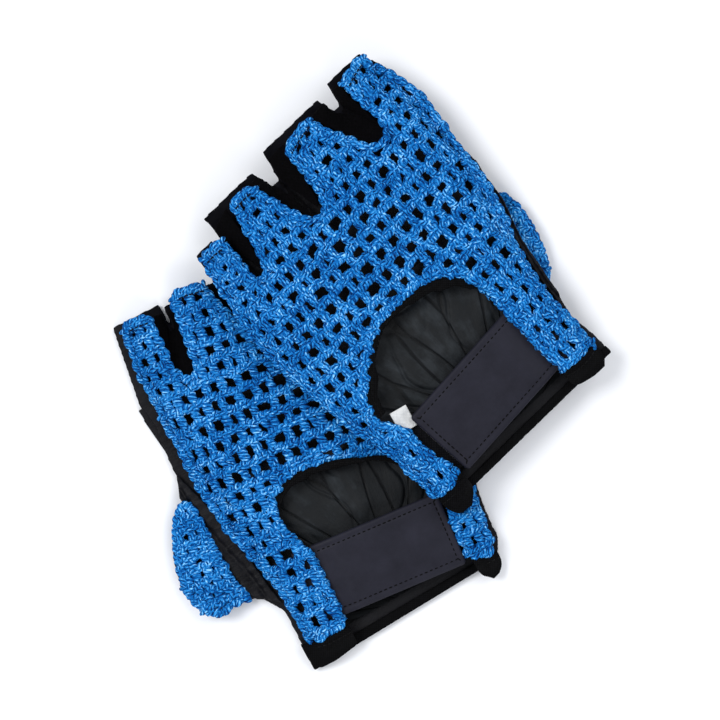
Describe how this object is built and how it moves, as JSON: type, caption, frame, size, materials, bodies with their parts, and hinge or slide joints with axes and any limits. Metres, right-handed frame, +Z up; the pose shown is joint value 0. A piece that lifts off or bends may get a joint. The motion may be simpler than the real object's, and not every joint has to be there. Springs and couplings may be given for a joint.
{
  "type": "fingerless gloves",
  "caption": "Pair of fingerless sailing gloves with a crochet back, leather palm, half moon back opening and hook and loop wrist strap.",
  "frame": {"origin": "centre of the pair's footprint, on the surface it lies on", "axes": "+Z up out of the back of the hand, +Y the fingers' mean direction, +X from the right glove towards the left glove"},
  "size_m": [0.2142, 0.2136, 0.0299],
  "materials": {
    "crochet_yarn": "two-ply melange cotton yarn, crocheted",
    "black_leather": "smooth soft leather",
    "dark_lining": "suede side of the palm leather",
    "stretch_cloth": "fine elastic knit",
    "hem_cloth": "folded binding cloth",
    "strap_face": "soft coated strap face",
    "strap_cloth": "strap backing cloth",
    "hook_tape": "hook side tape",
    "loop_tape": "brushed loop tape",
    "label_cloth": "white woven ribbon, bare"
  },
  "bodies": {
    "right_glove": {"right_back_crochet": "crochet_yarn", "right_grip_patch": "black_leather", "right_heel_pad": "black_leather", "right_index_gore": "stretch_cloth", "right_little_leg_hem": "hem_cloth", "right_loop_tape": "loop_tape", "right_loop_tongue": "strap_cloth", "right_middle_gore": "stretch_cloth", "right_opening_binding": "hem_cloth", "right_palm_leather": "black_leather", "right_palm_lining": "dark_lining", "right_ring_gore": "stretch_cloth", "right_strap_root": "strap_cloth", "right_thumb_gusset": "black_leather", "right_thumb_leg_hem": "hem_cloth", "right_wrist_hem": "hem_cloth"},
    "left_glove": {"left_back_crochet": "crochet_yarn", "left_care_label": "label_cloth", "left_grip_patch": "black_leather", "left_heel_pad": "black_leather", "left_index_gore": "stretch_cloth", "left_little_leg_hem": "hem_cloth", "left_loop_tape": "loop_tape", "left_loop_tongue": "strap_cloth", "left_middle_gore": "stretch_cloth", "left_opening_binding": "hem_cloth", "left_palm_leather": "black_leather", "left_palm_lining": "dark_lining", "left_ring_gore": "stretch_cloth", "left_strap_root": "strap_cloth", "left_thumb_gusset": "black_leather", "left_thumb_leg_hem": "hem_cloth", "left_wrist_hem": "hem_cloth"},
    "right_strap": {"right_hook_tape": "hook_tape", "right_strap_backing": "strap_cloth", "right_strap_tab": "strap_face"},
    "left_strap": {"left_hook_tape": "hook_tape", "left_strap_backing": "strap_cloth", "left_strap_tab": "strap_face"},
    "right_thumb": {"right_thumb_crochet": "crochet_yarn", "right_thumb_leather": "black_leather"},
    "left_thumb": {"left_thumb_crochet": "crochet_yarn", "left_thumb_leather": "black_leather"}
  },
  "joints": [
    {"name": "right_strap_peel", "type": "hinge", "parent": "right_glove", "child": "right_strap", "pos_m": [-0.05049, -0.0657, 0.00941], "axis": [-0.2164, -0.9763, 0], "range_deg": [0, 100]},
    {"name": "left_strap_peel", "type": "hinge", "parent": "left_glove", "child": "left_strap", "pos_m": [0.0677, -0.03325, 0.02159], "axis": [-0.2161, 0.9762, 0.0156], "range_deg": [0, 100]},
    {"name": "right_thumb_fold", "type": "hinge", "parent": "right_glove", "child": "right_thumb", "pos_m": [-0.08283, -0.0548, 0.00708], "axis": [-0.0015, 1, 0], "range_deg": [0, 60]},
    {"name": "left_thumb_swing", "type": "hinge", "parent": "left_glove", "child": "left_thumb", "pos_m": [0.09446, 0.03255, 0.01145], "axis": [0.0431, -0.0064, 0.999], "range_deg": [0, 28]},
    {"name": "left_glove_lift", "type": "slide", "parent": "right_glove", "child": "left_glove", "axis": [0, 0, 1], "range_m": [0, 0.15]}
  ]
}
